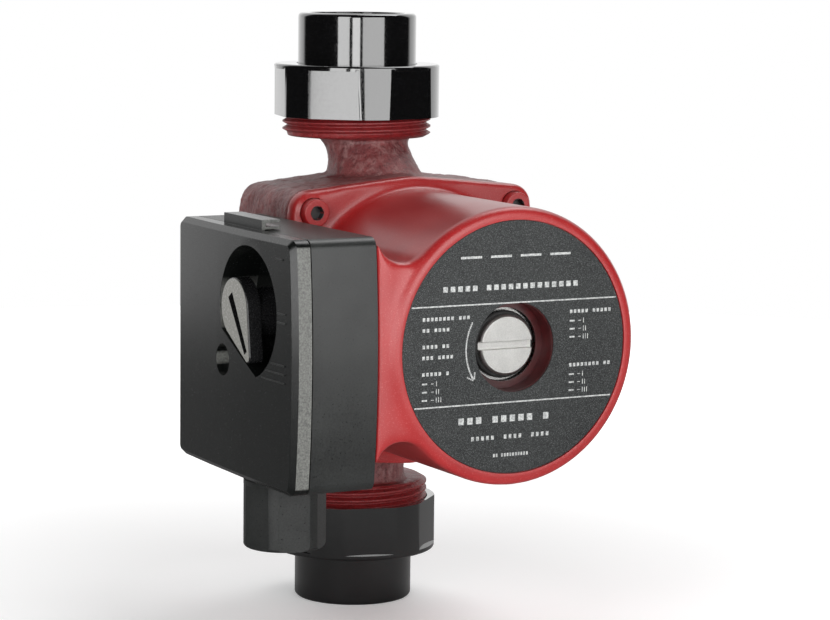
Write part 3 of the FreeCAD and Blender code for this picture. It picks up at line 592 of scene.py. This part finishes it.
def pump_casting():
    """Rough-cast volute and necks with flowed corners, and a thread cut on each port."""
    skin = remeshed(cad_copy("pump_housing"), CAST_VOXEL)
    points = points_of(skin)
    relax(skin, 9, 0.5 * ramp(points[:, 1], JOINT_Y, JOINT_Y + 2.5 * MM) + 0.08)
    bm = bmesh.new()
    bm.from_mesh(skin)
    bm.normal_update()
    for vert in bm.verts:
        held = min(max((vert.co.y - JOINT_Y - 0.8 * MM) / (3 * MM), 0.0), 1.0)
        lumps = noise.fractal(vert.co / (6.5 * MM), 1.0, 2.0, 3)
        pits = noise.fractal(vert.co / (1.9 * MM), 0.9, 2.0, 3)
        vert.co += vert.normal * held * (0.24 * lumps + 0.15 * pits - 0.12) * MM
        vert.co = Vector([min(max(value, low), high)
                          for value, low, high in zip(vert.co, PUMP_LOW, PUMP_HIGH)])
    for port_z, side in ((PORT_HIGH, 1), (PORT_LOW, -1)):
        cut_z = port_z - side * PORT_LENGTH
        found = bmesh.ops.bisect_plane(bm, geom=bm.verts[:] + bm.edges[:] + bm.faces[:],
                                       plane_co=(0, 0, cut_z), plane_no=(0, 0, side), clear_outer=True)
        rim = [item for item in found["geom_cut"] if isinstance(item, bmesh.types.BMEdge)]
        bmesh.ops.triangle_fill(bm, use_beauty=True, edges=rim)
        add_threaded_port(bm, cut_z, port_z)
    piece = piece_from(bm, "pump_casting", "red_cast_iron", "pump")
    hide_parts("pump_housing")
    return piece


def motor_casting():
    """Motor housing: soft fillets at the flange and the wing, crisp bores at the front."""
    bm = cad_copy("stator_housing")
    add_drum(bm, (0.0, AXIS_Z), PLATE_R + 0.6 * MM, RIM_Y, RIM_Y + 4 * MM)
    add_drum(bm, (0.0, AXIS_Z), WELL_R + 0.5 * MM, RIM_Y + 2 * MM, BOSS_BACK_Y)
    for bolt in BOLTS:
        add_drum(bm, bolt, BOLT_HEAD_R + 0.8 * MM, FLANGE_Y, JOINT_Y, 48)
    skin = remeshed(bm, MOTOR_VOXEL)
    points = points_of(skin)
    from_axis = np.hypot(points[:, 0], points[:, 2] - AXIS_Z)
    outside = ramp(from_axis, PLATE_R + 0.5 * MM, PLATE_R + 2.0 * MM)
    clear_of_joint = ramp(JOINT_Y - points[:, 1], 0.4 * MM, 2.0 * MM)
    relax(skin, 6, 0.5 * outside * clear_of_joint)
    near_flange = ramp(-points[:, 1], -FLANGE_Y - 1.0 * MM, -FLANGE_Y + 0.5 * MM) * ramp(
        points[:, 1], FLANGE_Y - 9 * MM, FLANGE_Y - 6 * MM) * ramp(-from_axis, -47 * MM, -45 * MM)
    wing = ramp(-points[:, 0], 24 * MM, 30 * MM) * ramp(from_axis, BARREL_R - 2 * MM, BARREL_R + 1 * MM)
    relax(skin, 34, 0.5 * np.maximum(near_flange, wing * clear_of_joint))
    points = np.clip(points_of(skin), HOUSING_LOW, HOUSING_HIGH)
    skin.vertices.foreach_set("co", points.ravel())
    bm = bmesh.new()
    bm.from_mesh(skin)
    back = open_bore(bm, (0.0, AXIS_Z), BOSS_BACK_Y, [(VENT_HOLE_R, BOSS_BACK_Y)])
    front = open_bore(bm, (0.0, AXIS_Z), RIM_Y, [
        (PLATE_R + 0.2 * MM, RIM_Y + 0.1 * MM), (PLATE_R + 0.2 * MM, PLATE_SEAT_Y),
        (WELL_R, PLATE_SEAT_Y), (WELL_R, WELL_FLOOR_Y), (VENT_HOLE_R, WELL_FLOOR_Y),
        (VENT_HOLE_R, BOSS_BACK_Y - 0.05 * MM)])
    bmesh.ops.bridge_loops(bm, edges=front + back)
    for bolt in BOLTS:
        ring = open_bore(bm, bolt, FLANGE_Y, [
            (COUNTERBORE_R, FLANGE_Y), (COUNTERBORE_R, COUNTERBORE_Y),
            (BOLT_HOLE_R, COUNTERBORE_Y), (BOLT_HOLE_R, JOINT_Y - 0.6 * MM)])
        bmesh.ops.edgeloop_fill(bm, edges=ring)
    piece = piece_from(bm, "motor_casting", "red_aluminium", "pump")
    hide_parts("stator_housing")
    return piece


# ---- pieces with eased edges ------------------------------------------------------------
def eased(node, width, segments=2, angle_deg=32.0):
    """Copy of a CAD piece with its sharp edges broken, as moulding or machining leaves them."""
    bm = cad_copy(node)
    bmesh.ops.dissolve_limit(bm, angle_limit=math.radians(0.6), verts=bm.verts, edges=bm.edges)
    sharp = [edge for edge in bm.edges if edge.calc_face_angle(0.0) > math.radians(angle_deg)]
    bmesh.ops.bevel(bm, geom=sharp, offset=width, offset_type="OFFSET", segments=segments,
                    profile=0.6, affect="EDGES", clamp_overlap=True)
    body = frame["nodes"][node]["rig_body"]
    piece = piece_from(bm, node + "_eased", SLOT_OF[node], body, OWN_FINISHES.get(node))
    normals = piece.modifiers.new("normals", "WEIGHTED_NORMAL")
    normals.keep_sharp = True
    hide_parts(node)
    return piece


EASED_WIDTHS = {
    "upper_union_nut": 0.45, "lower_union_nut": 0.45, "upper_tailpiece": 0.5, "lower_tailpiece": 0.5,
    "terminal_box_base": 0.35, "terminal_box_cover": 0.35, "speed_knob": 0.45, "gland_nut": 0.4,
    "vent_screw": 0.2, "housing_screws": 0.25, "cover_screw": 0.2, "nameplate": 0.1,
}


# ---- printing and relief ------------------------------------------------------------------
def add_bar(bm, low, high):
    """Thin block between two corners with its long edges eased."""
    made = bmesh.ops.create_cube(bm, size=1.0)["verts"]
    centre = [(a + b) / 2 for a, b in zip(low, high)]
    for vert in made:
        vert.co = Vector([c + v * (b - a) for c, v, a, b in zip(centre, vert.co, low, high)])
    edges = {edge for vert in made for edge in vert.link_edges}
    thin = min(b - a for a, b in zip(low, high))
    bmesh.ops.bevel(bm, geom=list(edges), offset=thin * 0.2, segments=1, affect="EDGES")


def add_stroke(bm, x, z, width, height, rise=0.05 * MM):
    """Printed mark on the nameplate, centred at (x, z) from the motor's axis."""
    add_bar(bm, (x - width / 2, PLATE_Y - rise, AXIS_Z + z - height / 2),
            (x + width / 2, PLATE_Y + 0.05 * MM, AXIS_Z + z + height / 2))


def add_words(bm, x, z, height, words, glyph=1.0 * MM, gap=0.45 * MM):
    """A row of plain blocks in the rhythm of small print, starting at x."""
    for letters in words:
        for _ in range(letters):
            add_stroke(bm, x + glyph / 2, z, glyph * 0.72, height * 0.62)
            x += glyph + gap * 0.35
        x += gap * 2.2


def add_speed_mark(bm, x, z, count):
    """A dash and then one, two or three upright strokes."""
    add_stroke(bm, x, z, 0.9 * MM, 0.22 * MM)
    for number in range(count):
        add_stroke(bm, x + (1.3 + 0.75 * number) * MM, z, 0.24 * MM, 1.5 * MM)


def nameplate_print():
    """Generic rows of small print, two ruled lines and a turning arrow."""
    bm = bmesh.new()
    for z in (13.2 * MM, -16.2 * MM):
        half = math.sqrt(PLATE_R ** 2 - z ** 2) - 0.5 * MM
        add_stroke(bm, 0.0, z, 2 * half, 0.42 * MM)
    add_words(bm, -24.5 * MM, 18.0 * MM, 2.6 * MM, (5, 13), 2.1 * MM, 1.0 * MM)
    for x in (-15.0, -5.0, 5.0, 15.0):
        add_stroke(bm, x * MM, 27.0 * MM, 7.0 * MM, 0.7 * MM)
    left_rows = ((9.6, (8, 3)), (6.4, (2, 4)), (1.6, (4, 2)), (-1.6, (3, 4)), (-6.4, (5, 1)))
    right_rows = ((9.6, (5, 5)), (-6.4, (8, 2)))
    for x, rows in ((-31.0 * MM, left_rows), (18.5 * MM, right_rows)):
        for z, words in rows:
            add_words(bm, x, z * MM, 1.7 * MM, words, 1.15 * MM, 0.55 * MM)
    for x, top in ((-31.0, -9.2), (18.5, 6.8), (18.5, -9.2)):
        for count in (1, 2, 3):
            z = (top - 2.4 * (count - 1)) * MM
            add_stroke(bm, (x + 1.0) * MM, z, 1.7 * MM, 0.5 * MM)
            add_speed_mark(bm, (x + 3.6) * MM, z, count)
    add_words(bm, -19.0 * MM, -21.0 * MM, 3.2 * MM, (3, 5, 1), 2.5 * MM, 1.2 * MM)
    add_words(bm, -14.5 * MM, -26.4 * MM, 2.0 * MM, (5, 4, 4), 1.25 * MM, 1.2 * MM)
    add_words(bm, -7.0 * MM, -31.8 * MM, 1.6 * MM, (2, 10), 0.8 * MM, 0.4 * MM)
    arrow_r = 16.4 * MM
    steps = 26
    for step in range(steps):
        angle = math.radians(152 + 62 * step / steps)
        add_stroke(bm, arrow_r * math.cos(angle), arrow_r * math.sin(angle), 0.42 * MM, 0.75 * MM)
    for lean in (-1, 1):
        for step in range(5):
            angle = math.radians(214 - 1.7 * step)
            radius = arrow_r + lean * step * 0.34 * MM
            add_stroke(bm, radius * math.cos(angle), radius * math.sin(angle), 0.45 * MM, 0.45 * MM)
    piece_from(bm, "nameplate_print", "nameplate_foil", "pump", PRINT)


def speed_marks():
    """Raised strokes beside the knob that follow the bowed cover: one, two and three."""
    cover = BVHTree.FromBMesh(cad_copy("terminal_box_cover"))
    outward, inward = Vector((-1.0, 0.0, 0.0)), Vector((1.0, 0.0, 0.0))
    half_height = 0.24 * MM
    bm = bmesh.new()
    for count, front_y, length, middle_z in ((1, -95.0 * MM, 4.5 * MM, KNOB_Z + 18.5 * MM),
                                             (2, -97.0 * MM, 6.4 * MM, KNOB_Z + 1.7 * MM),
                                             (3, -96.6 * MM, 15.0 * MM, KNOB_Z - 14.3 * MM)):
        for number in range(count):
            z = middle_z + ((count - 1) / 2 - number) * 2.5 * MM
            rows = []
            for step in range(11):
                y = front_y + length * step / 10
                hit = cover.ray_cast(Vector((COVER_LOW.x, y, z)) + outward * MM, inward)[0]
                top_x = max(hit.x - 0.32 * MM, COVER_LOW.x + 0.02 * MM)
                rows.append([bm.verts.new((x, y, z + side * half_height))
                             for x, side in ((hit.x + 0.2 * MM, -1.6), (top_x, -0.7), (top_x, 0.7),
                                             (hit.x + 0.2 * MM, 1.6))])
            for one, two in zip(rows, rows[1:]):
                for corner in range(4):
                    after = (corner + 1) % 4
                    bm.faces.new((one[corner], one[after], two[after], two[corner]))
            bm.faces.new(rows[0])
            bm.faces.new(rows[-1])
    piece_from(bm, "speed_marks", "black_box_plastic", "box_cover")


def knob_well_rib():
    """Upright rib on the well's floor, from the hub to the wall."""
    bm = bmesh.new()
    floor_x = KNOB_WELL_FLOOR_X - 0.05 * MM
    add_bar(bm, (floor_x - 3.5 * MM, -1.1 * MM, 8.4 * MM), (floor_x + 0.05 * MM, 1.1 * MM, 17.5 * MM))
    lean = Matrix.Rotation(math.radians(28), 4, "X")
    for vert in bm.verts:
        vert.co = lean @ vert.co + Vector((0.0, KNOB_Y, KNOB_Z))
    piece_from(bm, "knob_well_rib", "black_box_plastic", "box_cover")


# ---- stage --------------------------------------------------------------------------------
CAMERA_PLACE = Vector((-0.4186, -0.8212, 0.2120))
CAMERA_HEADING = math.radians(-28.22)
CAMERA_PITCH = math.radians(6.75)
CAMERA_ROLL = math.radians(0.64)
CAMERA_LENS = 123.94
CAMERA_SHIFT_Y = -0.0331
TARGET = Vector((-0.01, -0.045, 0.095))


def camera():
    data = bpy.data.cameras.new("camera")
    data.sensor_width = 36.0
    data.lens = CAMERA_LENS
    data.shift_y = CAMERA_SHIFT_Y
    made = bpy.data.objects.new("camera", data)
    bpy.context.scene.collection.objects.link(made)
    turn = (Matrix.Rotation(CAMERA_HEADING, 4, "Z") @ Matrix.Rotation(math.pi / 2 - CAMERA_PITCH, 4, "X")
            @ Matrix.Rotation(CAMERA_ROLL, 4, "Z"))
    made.matrix_world = Matrix.Translation(CAMERA_PLACE) @ turn
    bpy.context.scene.camera = made


def soft_box(name, swing_deg, distance, height, size, radiance):
    """Soft light aimed at the pump, so many degrees to the right of the camera."""
    heading = CAMERA_HEADING + math.radians(swing_deg)
    place = TARGET + Vector((math.sin(heading) * distance, -math.cos(heading) * distance, height))
    data = bpy.data.lights.new(name, "AREA")
    data.shape = "RECTANGLE"
    data.size, data.size_y = size
    data.energy = radiance * math.pi * size[0] * size[1]
    made = bpy.data.objects.new(name, data)
    bpy.context.scene.collection.objects.link(made)
    turn = (TARGET - place).to_track_quat("-Z", "Y").to_matrix().to_4x4()
    made.matrix_world = Matrix.Translation(place) @ turn


def surroundings():
    """White room: seen white, and brighter behind the pump than at its sides."""
    world = bpy.data.worlds.new("room")
    bpy.context.scene.world = world
    world.use_nodes = True
    tree = world.node_tree
    tree.nodes.clear()

    def add(kind, **settings):
        node = tree.nodes.new(kind)
        for key, value in settings.items():
            setattr(node, key, value)
        return node

    behind = Vector((-math.sin(CAMERA_HEADING), math.cos(CAMERA_HEADING), 0.25)).normalized()
    along = add("ShaderNodeVectorMath", operation="DOT_PRODUCT")
    tree.links.new(add("ShaderNodeTexCoord").outputs["Generated"], along.inputs[0])
    along.inputs[1].default_value = behind
    level = add("ShaderNodeMapRange")
    tree.links.new(along.outputs["Value"], level.inputs["Value"])
    for key, value in (("From Min", 0.47), ("From Max", 0.60), ("To Min", 0.015), ("To Max", 0.95)):
        level.inputs[key].default_value = value
    lit, seen, mixed = add("ShaderNodeBackground"), add("ShaderNodeBackground"), add("ShaderNodeMixShader")
    tree.links.new(level.outputs["Result"], lit.inputs["Strength"])
    seen.inputs["Strength"].default_value = 1.0
    for node in (lit, seen):
        node.inputs["Color"].default_value = (1.0, 1.0, 1.0, 1.0)
    tree.links.new(add("ShaderNodeLightPath").outputs["Is Camera Ray"], mixed.inputs[0])
    tree.links.new(lit.outputs[0], mixed.inputs[1])
    tree.links.new(seen.outputs[0], mixed.inputs[2])
    tree.links.new(mixed.outputs[0], add("ShaderNodeOutputWorld").inputs["Surface"])


def floor():
    bm = bmesh.new()
    bmesh.ops.create_circle(bm, cap_ends=True, segments=96, radius=0.75)
    mesh = bpy.data.meshes.new("floor")
    bm.to_mesh(mesh)
    bm.free()
    made = bpy.data.objects.new("floor", mesh)
    bpy.context.scene.collection.objects.link(made)
    look = Finish("floor", roughness=0.9)
    mottle = look.noise(60 * MM, 2.0)
    pale = look.blend(mottle, (0.90, 0.90, 0.90), (0.93, 0.93, 0.93))
    # Glossy rays see the floor dark grey and unlit, so the pump shows a painted dark reflection of it instead
    # of the pale floor.
    direct = look.math("SUBTRACT", 1.0, look.add("ShaderNodeLightPath").outputs["Is Glossy Ray"])
    look.colour(look.blend(direct, (0.22, 0.22, 0.22), pale))
    # The floor glows, though it is no lamp: emission rises from 0.22 near the pump to 1.0 far out, a painted
    # brightening so it reads as a white backdrop.
    far = look.add("ShaderNodeVectorMath", operation="LENGTH")
    look.join(look.place, far.inputs[0])
    glow = look.span(far.outputs["Value"], 0.08, 0.45, 0.22, 1.0)
    glow = look.math("MULTIPLY", glow, direct)
    look.shader.inputs["Emission Color"].default_value = (1.0, 1.0, 1.0, 1.0)
    look.join(glow, look.shader.inputs["Emission Strength"])
    mesh.materials.append(look.material)


# ---- the pump ---------------------------------------------------------------------------
for node, made in frame["nodes"].items():
    made.data.materials.clear()
    made.data.materials.append(FINISHES[SLOT_OF[node]])

pump_casting()
motor_casting()
for node, width in EASED_WIDTHS.items():
    eased(node, width * MM)
nameplate_print()
speed_marks()
knob_well_rib()

camera()
soft_box("left_box", -26.0, 1.15, 0.30, (0.50, 0.9), 4.2)
soft_box("front_box", -1.0, 1.15, 0.05, (0.30, 0.5), 4.9)
soft_box("right_box", 34.0, 1.15, 0.15, (0.95, 0.9), 3.2)
soft_box("top_box", 130.0, 0.55, 1.1, (0.7, 0.7), 3.2)
surroundings()
floor()
bpy.context.scene.view_settings.view_transform = "Standard"
